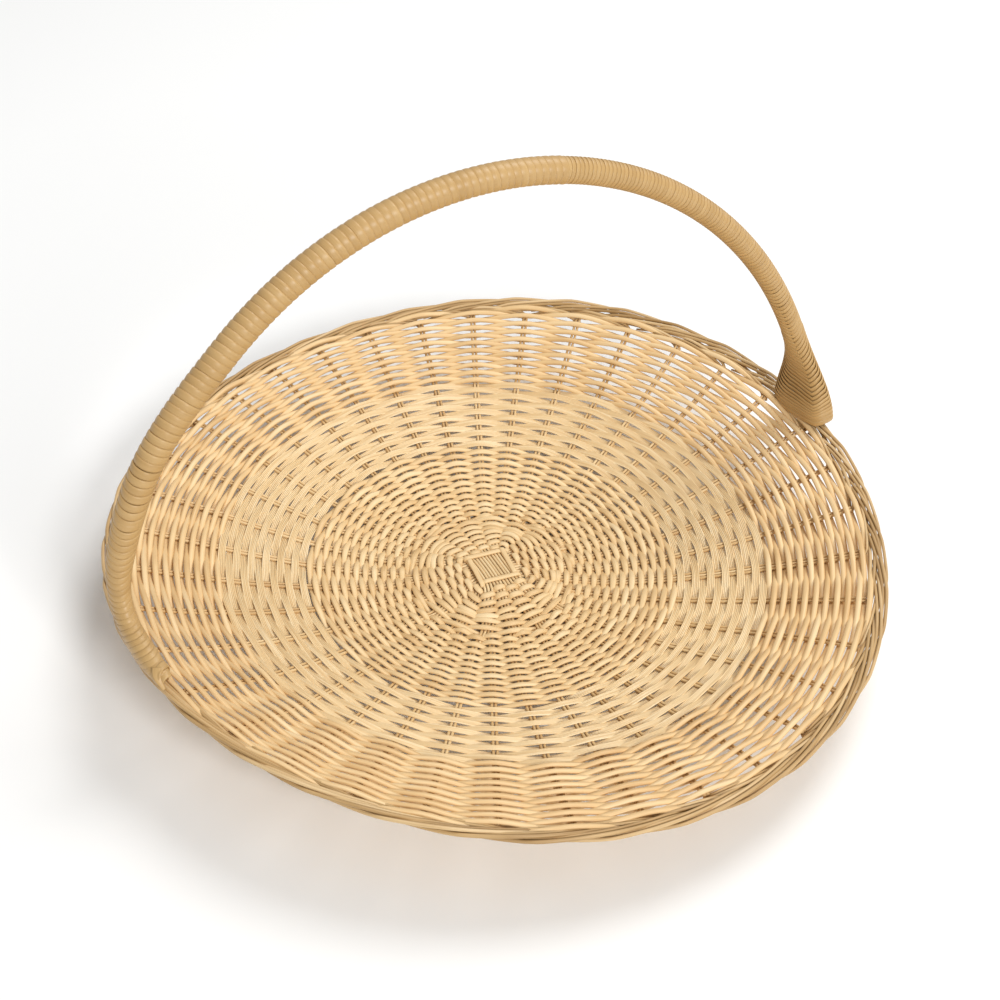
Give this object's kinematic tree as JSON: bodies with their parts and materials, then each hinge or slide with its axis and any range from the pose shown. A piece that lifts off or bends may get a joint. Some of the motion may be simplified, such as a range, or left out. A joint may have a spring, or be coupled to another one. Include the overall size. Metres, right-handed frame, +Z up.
{
  "type": "woven tray basket",
  "caption": "Round shallow tray basket woven from cane on radial stakes, with a plaited border and a tall fixed bow handle wrapped in flat peel.",
  "frame": {"origin": "on the resting plane, straight under the middle of the rim", "axes": "+Z up, +Y towards the back, +X to the right; the handle runs from the left front to the right back, 32.6 degrees anticlockwise from +X"},
  "size_m": [0.5, 0.5, 0.2886],
  "materials": {
    "cane_pale": "satin",
    "cane_stake": "satin",
    "cane_ribbon": "satin",
    "border_cane": "satin",
    "handle_rod": "matt",
    "handle_peel": "satin"
  },
  "bodies": {
    "root": {"lower_cross_sticks": "cane_stake", "upper_cross_sticks": "cane_stake", "cross_binding": "cane_pale", "corner_stakes": "cane_stake", "inserted_stakes": "cane_stake", "centre_weave": "cane_pale", "base_weave": "cane_pale", "ribbon_weave": "cane_ribbon", "outer_weave": "cane_pale", "rim_border": "border_cane", "handle_ridge_rod": "handle_rod", "handle_outer_rod": "handle_rod", "handle_inner_rod": "handle_rod", "handle_wrap_right": "handle_peel", "handle_wrap_left": "handle_peel", "right_foot_wrap": "handle_peel", "left_foot_wrap": "handle_peel", "right_foot_ties": "handle_peel", "left_foot_ties": "handle_peel"}
  },
  "joints": []
}
